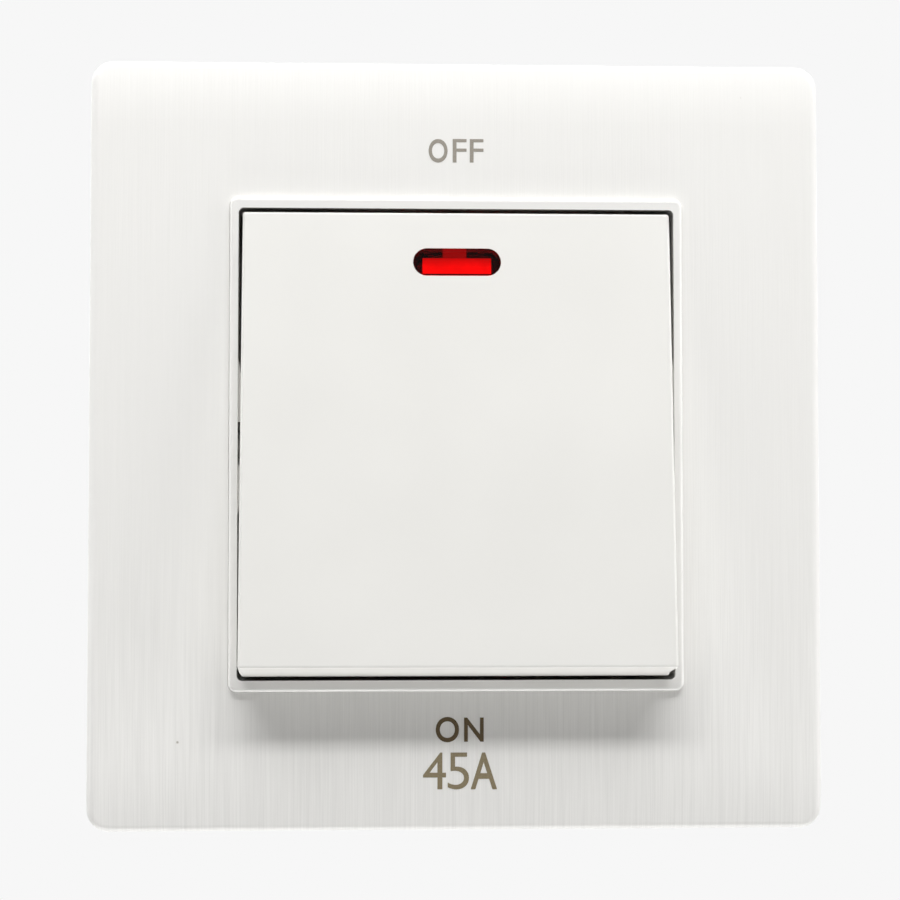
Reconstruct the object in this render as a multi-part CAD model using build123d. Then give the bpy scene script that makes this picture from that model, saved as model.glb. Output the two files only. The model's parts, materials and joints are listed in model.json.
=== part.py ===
from build123d import *
import math
import os

os.makedirs("parts", exist_ok=True)

# A double-pole wall switch for an air conditioner. A front plate snaps on a mounting frame, whose
# collar is the raised surround of one large rocker with a neon window. Behind the wall plane, a
# housing holds two poles. In each, a sprung plunger in the rocker rides on a rocking contact arm.
#
# Frame: origin in the middle of the wall plane, +X right, +Z up, and the room is towards -Y.
# A level is a distance in front of the wall plane, so it is -Y, and is negative behind the wall.
# A reach is measured the same way, but from the axis that a moving piece turns about.
# The switch is modelled at OFF, with the rocker's top end pressed in. All lengths are millimetres.

# General clearances
FIT = 0.1          # between fixed pieces that slide together
RUNNING = 0.05     # radial, round a pin that turns
REST = 0.05        # left between surfaces that meet at a stop

# Front plate
PLATE_WIDTH = 86.0
PLATE_HEIGHT = 90.3
PLATE_LEVEL = 8.0
PLATE_CORNER = 2.6
PLATE_WALL = 2.0
PLATE_SKIN = 2.2
CROWN_WIDTH = 7.0   # of the band along the top and the bottom edge that curves back
CROWN_DROP = 0.55
PLATE_EDGE = 1.0
PLATE_GAP = 0.06    # round the collar
PRY_WIDTH = 8.0
PRY_HEIGHT = 1.2
HOOK_SPACING = 44.0
HOOK_INSET = 3.2   # from the flange's edge to the hook's middle
HOOK_WIDTH = 6.0
HOOK_THICKNESS = 1.4
HOOK_BARB = 0.8
HOOK_TIP = 0.3
HOOK_TIP_RAMP = 0.5

# Mounting frame
FLANGE_GAP = 3.0   # to the plate's inner walls
FLANGE_THICKNESS = 2.5
FLANGE_CORNER = 2.0
LEDGE_LEVEL = 1.4  # the flange's ledges that the hooks catch on
COLLAR_LEVEL = 8.8
COLLAR_WALL = 1.05
COLLAR_END_WALL = 1.35
COLLAR_CORNER = 1.0
COLLAR_EDGE = 0.5
OPENING_CORNER = 0.6
FIXING_CENTRES = 60.3
FIXING_RADIUS = 2.0
FIXING_TRAVEL = 1.3
GUSSET_HEIGHT = 2.4
GUSSET_LENGTH = 5.0
GUSSET_THICKNESS = 1.2
GUSSET_SPACING = 28.0
BOSS_RADIUS = 3.5
BOSS_HEIGHT = 2.6
BOSS_FLOOR = 0.9   # left in front of the screw's hole

# Rocker, which turns about the pivot axis
ROCKER_WIDTH = 50.2
ROCKER_HEIGHT = 53.1
ROCKER_REACH = 6.6
ROCKER_TILT = 6.0  # each way from upright
ROCKER_FACE = 2.0
ROCKER_WALL = 1.3
ROCKER_BACK = 1.0  # the skirts end this far behind the pivot
ROCKER_EDGE = 0.35
ROCKER_SIDE_GAP = 0.45
ROCKER_END_GAP = 0.5
KEY_CHAMFER = 0.7
KEY_REACH = 5.8
PIVOT_LEVEL = 4.8
PIN_RADIUS = 1.6
PIN_LENGTH = 1.1
PIN_BOSS = 3.0
RIB_THICKNESS = 1.0
RIB_REACH = 1.2
WELL_WALL = 1.2
WELL_BACK = 5.0
WELL_FLOOR = 0.8   # between the well and the rocker's face

# Pads on the collar's inner walls, which carry the rocker's pins
PAD_THICKNESS = 0.35
PAD_LENGTH = 18.4
PAD_SHOULDER = 2.5
PAD_OFFSET = 0.8   # of the pad's middle above the pivot
PAD_FRONT = 8.0
PAD_BACK = 1.0
GROOVE_WIDTH = 5.0
GROOVE_DEPTH = 0.3

# Indicator lens
LENS_WIDTH = 10.2
LENS_HEIGHT = 3.2
LENS_Z = 20.65
LENS_FLANGE = 1.0
LENS_FLANGE_THICKNESS = 0.8
LENS_WINDOW = 0.8
LENS_RECESS_WIDTH = 8.1
LENS_RECESS_HEIGHT = 1.9
LENS_RECESS_DROP = 0.3

# Plungers and their springs, in wells of the rocker
PLUNGER_RADIUS = 2.4
PLUNGER_BORE = 1.9
PLUNGER_INNER = 1.0     # its inner end, behind the pivot
PLUNGER_TIP = 12.15     # the middle of its round tip, behind the pivot
PLUNGER_TIP_RADIUS = 1.6
PLUNGER_TAPER = 1.2
PLUNGER_END_WALL = 1.4
SPRING_RADIUS = 1.7
SPRING_WIRE = 0.25
SPRING_TURNS = 7
SPRING_RUNS = 12        # straight runs in each turn
WIRE_SIDES = 6          # flats round a thin wire

# Contact arms, which rock about the fulcrum axis
ARM_TILT = 8.0          # each way from upright
FULCRUM_LEVEL = -9.7
ARM_WIDTH = 8.0
ARM_THICKNESS = 1.2
ARM_REACH = 1.3
ARM_UPPER = 13.8
ARM_LOWER = 12.5
SADDLE_REACH = 0.6
SADDLE_RADIUS = 4.85
TRUNNION_RADIUS = 1.0
CONTACT_Z = 11.0
CONTACT_RADIUS = 2.4
CONTACT_THICKNESS = 1.2

# Copper strips
STRIP_THICKNESS = 1.2
STRIP_WIDTH = 10.0
STRIP_BEND = 1.3
EAR_GAP = 0.3
EAR_THICKNESS = 1.0
EAR_RADIUS = 2.2
SUPPLY_TOP = 4.5
TONGUE_END = 8.0
LEG_GAP = 1.1           # from the arm's end to the strip's leg
TAIL_SHORT = 1.0        # the strip's tail stops this far from the block's outer face

# Terminal blocks and screws
BLOCK_WIDTH = 13.0
BLOCK_HEIGHT = 12.0
BLOCK_FRONT = -8.5
BLOCK_EDGE = 0.4
BLOCK_GAP = 0.4         # to the strip's leg
WIRE_RADIUS = 3.2
WIRE_COVER = 1.6        # metal between the bore and the block's front face
SCREW_COVER = 3.4       # metal between the bore and the block's back face
STUD_RADIUS = 2.0
STUD_HEAD = 2.7
STUD_HEAD_HEIGHT = 0.7
CLAMP_RADIUS = 2.0
CLAMP_SPACING = 6.0
CLAMP_BACKED_OFF = 0.5
CLAMP_HEAD_RADIUS = 2.7
CLAMP_HEAD_HEIGHT = 2.2
CLAMP_HEAD_GAP = 0.25
DRIVE_WIDTH = 0.8
DRIVE_DEPTH = 1.0

# Mechanism base and cover
BASE_SEAT = 1.35        # how far the base passes the frame's opening at each side
BASE_WALL = 2.3
BASE_END_WALL = 1.6
BASE_BACK_WALL = 2.5
BASE_CORNER = 2.0
BASE_EDGE = 0.8
PARTITION = 2.0
COVER_LEVEL = -2.0
COVER_THICKNESS = 2.0
COVER_LEDGE = 1.0
COVER_END_LEDGE = 0.6
COVER_RIM = 1.0
RIB = 1.2               # thickness of the base's inner ribs
RIB_BACK_OFF = 3.0      # the terminal ribs stop this far behind the block's front
WIRE_ENTRY = 3.6
LUG_RADIUS = 3.5
LUG_THICKNESS = 3.0
LUG_OFFSET = 3.4
LUG_SPACING_Z = 44.0
SLOT_GAP = 0.4          # round the swinging plunger, in the cover
POST_RADIUS = 1.5
POST_X = 20.5
POST_Z = 17.0
POST_GAP = 0.3

# Housing screws
HOUSING_SCREW_RADIUS = 1.4
HOUSING_SCREW_LENGTH = 7.0
HOUSING_HEAD_RADIUS = 2.8
HOUSING_HEAD_HEIGHT = 1.8

# Neon lamp, its resistor and leads
LAMP_RADIUS = 2.5
LAMP_LENGTH = 9.0
LAMP_LEVEL = 0.6
CRADLE_SPACING = 6.4
CRADLE_THICKNESS = 1.0
CRADLE_HEIGHT = 2.8
CRADLE_MARGIN = 1.2
RESISTOR_RADIUS = 1.2
RESISTOR_LENGTH = 6.5
RESISTOR_GAP = 1.9      # of wire between the lamp and the resistor
LEAD_RADIUS = 0.3
LEAD_BEND = 1.0
LEAD_HOLE_GAP = 0.3
LEAD_OFFSET = 3.6       # from the pole's middle

# Worked out from the sizes above
ROCKER_RADIUS = math.hypot(ROCKER_HEIGHT / 2, ROCKER_REACH)
OPENING_WIDTH = ROCKER_WIDTH + 2 * ROCKER_SIDE_GAP
FRONT_CHORD = math.sqrt(ROCKER_RADIUS**2 - (COLLAR_LEVEL - PIVOT_LEVEL) ** 2)
OPENING_HEIGHT = 2 * (FRONT_CHORD + ROCKER_END_GAP)
OPENING_BACK_HEIGHT = 2 * (ROCKER_RADIUS + ROCKER_END_GAP)
COLLAR_WIDTH = OPENING_WIDTH + 2 * COLLAR_WALL
COLLAR_HEIGHT = OPENING_HEIGHT + 2 * COLLAR_END_WALL
POCKET_LEVEL = PLATE_LEVEL - PLATE_SKIN
FLANGE_WIDTH = PLATE_WIDTH - 2 * (PLATE_WALL + FLANGE_GAP)
FLANGE_HEIGHT = PLATE_HEIGHT - 2 * (PLATE_WALL + FLANGE_GAP)
HOOK_Z = FLANGE_HEIGHT / 2 - HOOK_INSET
LEG_Z = ARM_UPPER + LEG_GAP
BLOCK_Z = LEG_Z + STRIP_THICKNESS + BLOCK_GAP + BLOCK_HEIGHT / 2
BLOCK_END = BLOCK_Z + BLOCK_HEIGHT / 2
TAIL_END = BLOCK_END - TAIL_SHORT
TAIL_LEVEL = BLOCK_FRONT + STRIP_THICKNESS
WIRE_LEVEL = BLOCK_FRONT - WIRE_COVER - WIRE_RADIUS
BLOCK_BACK = WIRE_LEVEL - WIRE_RADIUS - SCREW_COVER
CHAMBER_LEVEL = BLOCK_BACK - FIT
BASE_LEVEL = CHAMBER_LEVEL - BASE_BACK_WALL
BASE_WIDTH = OPENING_WIDTH + 2 * BASE_SEAT
BASE_HEIGHT = 2 * (BLOCK_END + FIT + BASE_END_WALL)
CHAMBER_WIDTH = (BASE_WIDTH - PARTITION) / 2 - BASE_WALL
CHAMBER_HEIGHT = BASE_HEIGHT - 2 * BASE_END_WALL
POLE_X = (PARTITION + CHAMBER_WIDTH) / 2
LUG_X = BASE_WIDTH / 2 + LUG_OFFSET
LUG_Z = LUG_SPACING_Z / 2
COVER_BACK = COVER_LEVEL - COVER_THICKNESS
COVER_WIDTH = BASE_WIDTH - 2 * (BASE_WALL - COVER_LEDGE + FIT)
COVER_HEIGHT = CHAMBER_HEIGHT + 2 * (COVER_END_LEDGE - FIT)
WELL_BORE = PLUNGER_RADIUS + FIT
WELL_RADIUS = WELL_BORE + WELL_WALL
WELL_TOP = ROCKER_REACH - ROCKER_FACE - WELL_FLOOR
EAR_X = ARM_WIDTH / 2 + EAR_GAP
SUPPLY_WIDTH = 2 * (EAR_X + EAR_THICKNESS)
LAMP_END = LAMP_LENGTH / 2
POLES = {"live": POLE_X, "neutral": -POLE_X}
UP, DOWN = 1, -1

# Planes for profiles, each drawn with the level or reach as its second coordinate
SIDE_VIEW = Plane(origin=(0, 0, 0), x_dir=(0, 0, 1), z_dir=(1, 0, 0))
TOP_VIEW = Plane(origin=(0, 0, 0), x_dir=(1, 0, 0), z_dir=(0, 0, -1))


def prism(sketch, back, front):
    """A sketch seen from the room, as a solid between two levels."""
    return extrude(Plane.XZ.offset(back) * sketch, amount=front - back)


def span(profile, width, centre=0.0):
    """A side profile of (Z, level) points as a solid across the switch, centred at this X."""
    return Pos(X=centre) * extrude(SIDE_VIEW * profile, amount=width / 2, both=True)


def bar(radius, start, end):
    """A round bar along X, on the X axis."""
    return Pos(X=(start + end) / 2) * Rot(Y=90) * Cylinder(radius, abs(end - start))


def turned(profile):
    """A turned piece about the axis through the origin towards the room, from (radius, reach) points."""
    return revolve(TOP_VIEW * profile, axis=Axis.Y)


def four(x, z, sketch):
    """The sketch repeated at the four corners of a rectangle about the middle."""
    return Sketch() + [place * sketch for place in GridLocations(2 * x, 2 * z, 2, 2)]


def at_rocker(solid):
    """A solid drawn about the pivot axis with the rocker upright, moved to the OFF position."""
    return Pos(Y=-PIVOT_LEVEL) * Rot(X=-ROCKER_TILT) * solid


def at_arm(solid, angle, pole):
    """A solid drawn about the fulcrum axis, turned to this angle and moved to its pole."""
    return Pos(pole, -FULCRUM_LEVEL, 0) * Rot(X=angle) * solid


def plate_profile():
    """Upright section of the plate: flat, with a long arc back to the lip at the top and bottom."""
    half = PLATE_HEIGHT / 2
    flat = half - CROWN_WIDTH
    lip = PLATE_LEVEL - CROWN_DROP
    outline = [
        Line((-flat, PLATE_LEVEL), (flat, PLATE_LEVEL)),
        TangentArc((flat, PLATE_LEVEL), (half, lip), tangent=(1, 0)),
        Polyline((half, lip), (half, 0), (-half, 0), (-half, lip)),
        TangentArc((-flat, PLATE_LEVEL), (-half, lip), tangent=(-1, 0)),
    ]
    return make_face(outline)


def hook():
    """A snap hook of the plate's upper edge, hanging from the pocket's ceiling."""
    inner = HOOK_Z - HOOK_THICKNESS / 2
    outer = HOOK_Z + HOOK_THICKNESS / 2
    catch = LEDGE_LEVEL - FIT
    outline = Polyline(
        (inner, POCKET_LEVEL),
        (inner, HOOK_TIP),
        (outer, HOOK_TIP),
        (outer + HOOK_BARB, HOOK_TIP + HOOK_TIP_RAMP),
        (outer + HOOK_BARB, catch),
        (outer, catch),
        (outer, POCKET_LEVEL),
        close=True,
    )
    return span(make_face(outline), HOOK_WIDTH)


def front_plate():
    plate = span(plate_profile(), PLATE_WIDTH)
    plate = fillet(plate.edges().filter_by(Axis.Y), PLATE_CORNER)
    front = plate.edges().filter_by_position(Axis.Y, -PLATE_LEVEL, -POCKET_LEVEL)
    bends = plate.edges().filter_by(Axis.X).group_by(Axis.Y)[0]
    plate = fillet(front - bends, PLATE_EDGE)
    pocket = Rectangle(PLATE_WIDTH - 2 * PLATE_WALL, PLATE_HEIGHT - 2 * PLATE_WALL)
    plate -= prism(pocket, 0, POCKET_LEVEL)
    window = RectangleRounded(
        COLLAR_WIDTH + 2 * PLATE_GAP, COLLAR_HEIGHT + 2 * PLATE_GAP, COLLAR_CORNER + PLATE_GAP
    )
    plate -= prism(window, 0, PLATE_LEVEL)
    for side in (UP, DOWN):
        for x in (-HOOK_SPACING / 2, HOOK_SPACING / 2):
            plate += Pos(X=x) * Rot(Y=0 if side == UP else 180) * hook()
    pry = Pos(0, -PLATE_HEIGHT / 2) * Rectangle(PRY_WIDTH, 2 * (PLATE_WALL + FIT))
    return plate - prism(pry, 0, PRY_HEIGHT)


def opening():
    """The space for the rocker: tight at the collar's mouth, wider at the pivot and behind it."""
    mouth = RectangleRounded(OPENING_WIDTH, OPENING_HEIGHT, OPENING_CORNER)
    inside = RectangleRounded(OPENING_WIDTH, OPENING_BACK_HEIGHT, OPENING_CORNER)
    sections = [Plane.XZ.offset(PIVOT_LEVEL) * inside, Plane.XZ.offset(COLLAR_LEVEL) * mouth]
    return loft(sections) + prism(inside, 0, PIVOT_LEVEL)


def pivot_pad():
    """The pad on the right inner wall, with sloped shoulders and the lead-in groove of the pin."""
    wall = OPENING_WIDTH / 2
    face = wall - PAD_THICKNESS
    half = PAD_LENGTH / 2
    outline = Polyline(
        (wall + FIT, PAD_OFFSET - half),
        (wall, PAD_OFFSET - half),
        (face, PAD_OFFSET - half + PAD_SHOULDER),
        (face, PAD_OFFSET + half - PAD_SHOULDER),
        (wall, PAD_OFFSET + half),
        (wall + FIT, PAD_OFFSET + half),
        close=True,
    )
    return prism(make_face(outline), PAD_BACK, PAD_FRONT)


def gusset():
    """A web between the collar's right side and the flange."""
    root = COLLAR_WIDTH / 2 - COLLAR_WALL / 2
    top = FLANGE_THICKNESS + GUSSET_HEIGHT
    outline = Polyline(
        (root, FLANGE_THICKNESS),
        (COLLAR_WIDTH / 2 + GUSSET_LENGTH, FLANGE_THICKNESS),
        (COLLAR_WIDTH / 2, top),
        (root, top),
        close=True,
    )
    return extrude(TOP_VIEW * make_face(outline), amount=GUSSET_THICKNESS / 2, both=True)


def hook_windows():
    """The holes that the plate's hooks pass, with a ledge left over each barb."""
    inner = HOOK_Z - HOOK_THICKNESS / 2 - HOOK_BARB - FIT
    neck = HOOK_Z + HOOK_THICKNESS / 2 + FIT
    pocket = neck + HOOK_BARB
    width = HOOK_WIDTH + 2 * FIT
    holes = []
    for outer, front in ((neck, FLANGE_THICKNESS), (pocket, LEDGE_LEVEL)):
        hole = Rectangle(width, outer - inner)
        holes.append(prism(four(HOOK_SPACING / 2, (outer + inner) / 2, hole), 0, front))
    return holes


def mounting_frame():
    frame = prism(RectangleRounded(FLANGE_WIDTH, FLANGE_HEIGHT, FLANGE_CORNER), 0, FLANGE_THICKNESS)
    collar = prism(RectangleRounded(COLLAR_WIDTH, COLLAR_HEIGHT, COLLAR_CORNER), 0, COLLAR_LEVEL)
    collar = fillet(collar.faces().sort_by(Axis.Y)[0].edges(), COLLAR_EDGE)
    frame += collar
    frame += prism(four(LUG_X, LUG_Z, Circle(BOSS_RADIUS)), 0, FLANGE_THICKNESS + BOSS_HEIGHT)
    for side in (0, 180):
        for z in (-GUSSET_SPACING / 2, GUSSET_SPACING / 2):
            frame += Rot(Y=side) * Pos(Z=z) * gusset()
    frame -= opening()
    for side in (0, 180):
        pad = pivot_pad()
        if side:
            pad = mirror(pad, about=Plane.YZ)
        frame += pad
    groove = OPENING_WIDTH / 2 + GROOVE_DEPTH
    frame -= prism(Rectangle(2 * groove, GROOVE_WIDTH), PIVOT_LEVEL, PAD_FRONT)
    pin_hole = PIN_RADIUS + RUNNING
    frame -= Pos(Y=-PIVOT_LEVEL) * bar(pin_hole, -COLLAR_WIDTH / 2, COLLAR_WIDTH / 2)
    slots = [
        Pos(x, 0) * SlotCenterToCenter(FIXING_TRAVEL, 2 * FIXING_RADIUS)
        for x in (-FIXING_CENTRES / 2, FIXING_CENTRES / 2)
    ]
    frame -= prism(Sketch() + slots, 0, FLANGE_THICKNESS)
    screw_hole = four(LUG_X, LUG_Z, Circle(HOUSING_SCREW_RADIUS + RUNNING))
    frame -= prism(screw_hole, 0, FLANGE_THICKNESS + BOSS_HEIGHT - BOSS_FLOOR)
    for hole in hook_windows():
        frame -= hole
    return frame


def rocker_shell():
    """The rocker's outside: a slice of a round barrel, so its ends clear the opening as it turns."""
    barrel = Rot(Y=90) * Cylinder(ROCKER_RADIUS, ROCKER_WIDTH)
    slab = prism(Rectangle(ROCKER_WIDTH, 2 * ROCKER_RADIUS), -ROCKER_BACK, ROCKER_REACH)
    shell = barrel & slab
    front = shell.faces().sort_by(Axis.Y)[0]
    corners = shell.edges().filter_by(GeomType.CIRCLE)
    shell = fillet(front.edges() + corners, ROCKER_EDGE)
    corner = Pos(ROCKER_WIDTH / 2, -FRONT_CHORD) * Rot(Z=45)
    cutter = Rectangle(KEY_CHAMFER * math.sqrt(2), KEY_CHAMFER * math.sqrt(2))
    return shell - prism(corner * cutter, -ROCKER_BACK, KEY_REACH)


def rocker():
    body = rocker_shell()
    inner_radius = ROCKER_RADIUS - ROCKER_WALL
    ceiling = ROCKER_REACH - ROCKER_FACE
    inner_width = ROCKER_WIDTH - 2 * ROCKER_WALL
    hollow = Rot(Y=90) * Cylinder(inner_radius, inner_width)
    hollow &= prism(Rectangle(inner_width, 2 * ROCKER_RADIUS), -ROCKER_BACK, ceiling)
    body -= hollow
    for x in POLES.values():
        rib = Pos(x, 0) * Rectangle(RIB_THICKNESS, 2 * ROCKER_RADIUS - ROCKER_WALL)
        body += prism(rib, RIB_REACH, ceiling)
        body += prism(Pos(x, 0) * Circle(WELL_RADIUS), -WELL_BACK, ceiling)
        body -= prism(Pos(x, 0) * Circle(WELL_BORE), -WELL_BACK, WELL_TOP)
    for side in (UP, DOWN):
        outer = side * ROCKER_WIDTH / 2
        body += bar(PIN_BOSS, outer - side * ROCKER_WALL, outer)
        body += bar(PIN_RADIUS, outer, outer + side * PIN_LENGTH)
    window = SlotOverall(LENS_WIDTH + FIT, LENS_HEIGHT + FIT)
    body -= prism(Pos(0, LENS_Z) * window, ceiling, ROCKER_REACH)
    return at_rocker(body)


def indicator_lens():
    ceiling = ROCKER_REACH - ROCKER_FACE
    back = ceiling - LENS_FLANGE_THICKNESS
    lens = prism(SlotOverall(LENS_WIDTH, LENS_HEIGHT), back, ROCKER_REACH)
    flange = SlotOverall(LENS_WIDTH + 2 * LENS_FLANGE, LENS_HEIGHT + 2 * LENS_FLANGE)
    lens += prism(flange, back, ceiling)
    recess = Pos(0, -LENS_RECESS_DROP) * Rectangle(LENS_RECESS_WIDTH, LENS_RECESS_HEIGHT)
    lens -= prism(recess, back, ROCKER_REACH - LENS_WINDOW)
    return at_rocker(Pos(Z=LENS_Z) * lens)


def plunger(pole):
    """A hollow pin with a round tip, which the spring pushes out of the rocker's well."""
    shoulder = PLUNGER_TIP - PLUNGER_TAPER
    bottom = PLUNGER_TIP + PLUNGER_TIP_RADIUS - PLUNGER_END_WALL
    outline = [
        Polyline(
            (0, -bottom),
            (PLUNGER_BORE, -bottom),
            (PLUNGER_BORE, -PLUNGER_INNER),
            (PLUNGER_RADIUS, -PLUNGER_INNER),
            (PLUNGER_RADIUS, -shoulder),
            (PLUNGER_TIP_RADIUS, -PLUNGER_TIP),
        ),
        RadiusArc(
            (PLUNGER_TIP_RADIUS, -PLUNGER_TIP),
            (0, -PLUNGER_TIP - PLUNGER_TIP_RADIUS),
            PLUNGER_TIP_RADIUS,
        ),
        Line((0, -PLUNGER_TIP - PLUNGER_TIP_RADIUS), (0, -bottom)),
    ]
    return at_rocker(Pos(X=pole) * turned(make_face(outline)))


def plunger_spring(pole):
    """A coil of short straight runs, from the well's end to the bottom of the plunger's bore."""
    bottom = PLUNGER_TIP + PLUNGER_TIP_RADIUS - PLUNGER_END_WALL
    coil_radius = SPRING_RADIUS - SPRING_WIRE
    height = WELL_TOP + bottom - 2 * (SPRING_WIRE + REST)
    steps = SPRING_TURNS * SPRING_RUNS
    turn = 2 * math.pi / SPRING_RUNS
    points = [
        (coil_radius * math.cos(turn * i), coil_radius * math.sin(turn * i), height * i / steps)
        for i in range(steps + 1)
    ]
    path = Polyline(*points)
    section = Plane(origin=path @ 0, z_dir=path % 0) * RegularPolygon(SPRING_WIRE, WIRE_SIDES)
    coil = Rot(X=90) * sweep(section, path=path, transition=Transition.RIGHT)
    return at_rocker(Pos(pole, bottom - SPRING_WIRE - REST, 0) * coil)


def arm_profile():
    """The arm's strip, dished in the middle where the plunger rides."""
    back = ARM_REACH - ARM_THICKNESS
    strip = Pos((ARM_UPPER - ARM_LOWER) / 2, (ARM_REACH + back) / 2)
    strip = strip * Rectangle(ARM_UPPER + ARM_LOWER, ARM_THICKNESS)
    middle = Pos(0, SADDLE_REACH + SADDLE_RADIUS)
    dish = middle * Circle(SADDLE_RADIUS)
    outer_dish = middle * Circle(SADDLE_RADIUS + ARM_THICKNESS)
    below = Pos(0, ARM_REACH - SADDLE_RADIUS) * Rectangle(2 * SADDLE_RADIUS, 2 * SADDLE_RADIUS)
    return strip - dish + ((outer_dish - dish) & below)


def contact_arm(pole):
    arm = span(arm_profile(), ARM_WIDTH)
    ends = arm.edges().filter_by(Axis.Y)
    arm = fillet(ends, ARM_WIDTH / 4)
    for side in (UP, DOWN):
        root = side * ARM_WIDTH / 2
        arm += bar(TRUNNION_RADIUS, root, root + side * (EAR_GAP + EAR_THICKNESS + REST))
    return at_arm(arm, ARM_TILT, pole)


def moving_contact(pole):
    back = ARM_REACH - ARM_THICKNESS
    disc = prism(Pos(0, CONTACT_Z) * Circle(CONTACT_RADIUS), back - CONTACT_THICKNESS, back)
    return at_arm(disc, ARM_TILT, pole)


def fixed_contact_front():
    """Reach of the fixed contact's face, in the arm's frame with the contacts closed."""
    return ARM_REACH - ARM_THICKNESS - CONTACT_THICKNESS - REST


def fixed_contact(pole):
    front = fixed_contact_front()
    disc = prism(Pos(0, CONTACT_Z) * Circle(CONTACT_RADIUS), front - CONTACT_THICKNESS, front)
    return at_arm(disc, -ARM_TILT, pole)


def tail_profile(*inner_points):
    """A bent strip: flat on the terminal block, down past its inner face, then on as given."""
    front = (TAIL_END, TAIL_LEVEL)
    corner = (LEG_Z, TAIL_LEVEL)
    path = FilletPolyline(front, corner, *inner_points, radius=STRIP_BEND)
    return make_face(offset(path, amount=STRIP_THICKNESS, side=Side.LEFT).edges())


def stud_hole(z):
    return prism(Pos(0, z) * Circle(STUD_RADIUS + RUNNING), BLOCK_FRONT, TAIL_LEVEL)


def supply_face():
    """Level of the supply strip's face, where the arm's lower end comes to rest at OFF."""
    lean = math.radians(ARM_TILT)
    back = ARM_REACH - ARM_THICKNESS
    return FULCRUM_LEVEL - ARM_LOWER * math.sin(lean) + back * math.cos(lean) - REST


def supply_strip(pole):
    """The strip from the lower terminal, with the two ears that carry the contact arm."""
    face = supply_face()
    profile = tail_profile((LEG_Z, face), (-SUPPLY_TOP, face))
    strip = Rot(Y=180) * span(profile, SUPPLY_WIDTH)
    ear = Pos(0, FULCRUM_LEVEL) * Circle(EAR_RADIUS)
    foot = (FULCRUM_LEVEL + face) / 2
    ear += Pos(0, foot) * Rectangle(2 * EAR_RADIUS, FULCRUM_LEVEL - face)
    ear -= Pos(0, FULCRUM_LEVEL) * Circle(TRUNNION_RADIUS + RUNNING)
    for side in (UP, DOWN):
        strip += span(ear, EAR_THICKNESS, side * (EAR_X + EAR_THICKNESS / 2))
    return Pos(X=pole) * (strip - stud_hole(-BLOCK_Z))


def load_strip(pole):
    """The strip from the upper terminal, ending in a slanted tongue behind the fixed contact."""
    lean = math.radians(ARM_TILT)
    reach = fixed_contact_front() - CONTACT_THICKNESS
    tip = (
        TONGUE_END * math.cos(lean) + reach * math.sin(lean),
        FULCRUM_LEVEL + reach * math.cos(lean) - TONGUE_END * math.sin(lean),
    )
    root = (LEG_Z, tip[1] - (LEG_Z - tip[0]) * math.tan(lean))
    strip = span(tail_profile(root, tip), STRIP_WIDTH)
    return Pos(X=pole) * (strip - stud_hole(BLOCK_Z))


def terminal_block(pole, side):
    """A brass block with a wire bore along Z and two clamp screws from behind."""
    z = side * BLOCK_Z
    block = prism(Pos(0, z) * Rectangle(BLOCK_WIDTH, BLOCK_HEIGHT), BLOCK_BACK, BLOCK_FRONT)
    block = chamfer(block.edges().filter_by(Axis.Y), BLOCK_EDGE)
    block -= Pos(0, -WIRE_LEVEL, z) * Cylinder(WIRE_RADIUS, BLOCK_HEIGHT)
    for offset_z in (-CLAMP_SPACING / 2, CLAMP_SPACING / 2):
        hole = Pos(0, z + offset_z) * Circle(CLAMP_RADIUS + RUNNING)
        block -= prism(hole, BLOCK_BACK, WIRE_LEVEL)
    block += prism(Pos(0, z) * Circle(STUD_RADIUS), BLOCK_FRONT, TAIL_LEVEL)
    block += prism(Pos(0, z) * Circle(STUD_HEAD), TAIL_LEVEL, TAIL_LEVEL + STUD_HEAD_HEIGHT)
    return Pos(X=pole) * block


def clamp_screw():
    """A slotted terminal screw with its head's front face at level 0, pointing at the room."""
    length = SCREW_COVER + CLAMP_HEAD_GAP - CLAMP_BACKED_OFF
    screw = prism(Circle(CLAMP_RADIUS), 0, length)
    screw += prism(Circle(CLAMP_HEAD_RADIUS), -CLAMP_HEAD_HEIGHT, 0)
    drive = Rectangle(2 * CLAMP_HEAD_RADIUS, DRIVE_WIDTH)
    return screw - prism(drive, -CLAMP_HEAD_HEIGHT, DRIVE_DEPTH - CLAMP_HEAD_HEIGHT)


def terminal_screws():
    level = BLOCK_BACK - CLAMP_HEAD_GAP
    return [
        Pos(x, -level, side * BLOCK_Z + offset_z) * clamp_screw()
        for x in POLES.values()
        for side in (UP, DOWN)
        for offset_z in (-CLAMP_SPACING / 2, CLAMP_SPACING / 2)
    ]


def base_ribs(pole):
    """Ribs on the chamber's floor that hold the blocks and carry the strips."""
    ribs = []
    block_rib_length = BLOCK_END - LEG_Z
    for side in (UP, DOWN):
        for edge in (UP, DOWN):
            x = pole + edge * (BLOCK_WIDTH / 2 + FIT + RIB / 2)
            z = side * (LEG_Z + block_rib_length / 2)
            rib = Pos(x, z) * Rectangle(RIB, block_rib_length + 2 * FIT)
            ribs.append(prism(rib, CHAMBER_LEVEL, BLOCK_FRONT - RIB_BACK_OFF))
    lean = math.radians(ARM_TILT)
    supply_back = supply_face() - STRIP_THICKNESS
    tongue = fixed_contact_front() - CONTACT_THICKNESS - STRIP_THICKNESS
    contact_back = FULCRUM_LEVEL + tongue * math.cos(lean) - LEG_Z * math.sin(lean)
    carried = (
        (-LEG_Z, SUPPLY_TOP, supply_back),
        (TONGUE_END, LEG_Z, contact_back),
    )
    for low, high, back in carried:
        for edge in (UP, DOWN):
            rib = Pos(pole + edge * STRIP_WIDTH / 4, (low + high) / 2) * Rectangle(RIB, high - low)
            ribs.append(prism(rib, CHAMBER_LEVEL, back - REST))
    return ribs


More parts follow.
